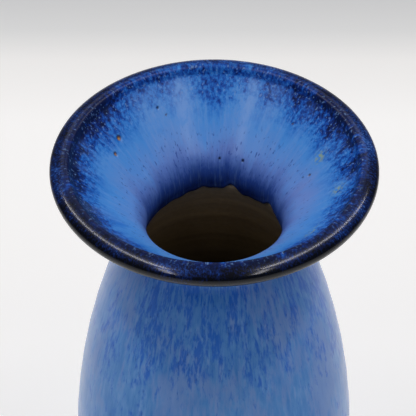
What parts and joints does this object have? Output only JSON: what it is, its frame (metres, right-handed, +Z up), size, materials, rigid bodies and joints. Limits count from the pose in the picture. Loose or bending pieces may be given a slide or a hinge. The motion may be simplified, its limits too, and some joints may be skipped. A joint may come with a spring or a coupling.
{
  "type": "flower vase",
  "caption": "Tall wheel-thrown stoneware vase with a long belly, a narrow neck and a wide funnel mouth with a rolled lip, glazed inside and out, on a bare foot ring.",
  "frame": {"origin": "centre of the foot, on the plane that the foot ring stands on", "axes": "+Z up along the axis that the pot was thrown on; the pot is round, so +X and +Y are any two level directions at right angles"},
  "size_m": [0.12, 0.12, 0.2352],
  "materials": {
    "fired_clay": "matt orange-tan fired stoneware, fine grog",
    "body_glaze": "satin-gloss steel-blue glaze with running cobalt flecks",
    "rim_glaze": "glossy near-black cobalt glaze with fine blue speckle",
    "mouth_glaze": "glossy cobalt to pale blue running glaze",
    "liner_glaze": "thin satin olive-brown liner glaze"
  },
  "bodies": {
    "root": {"stoneware_body": "fired_clay", "outer_glaze": "body_glaze", "rim_glaze": "rim_glaze", "mouth_glaze": "mouth_glaze", "liner_glaze": "liner_glaze"}
  },
  "joints": []
}
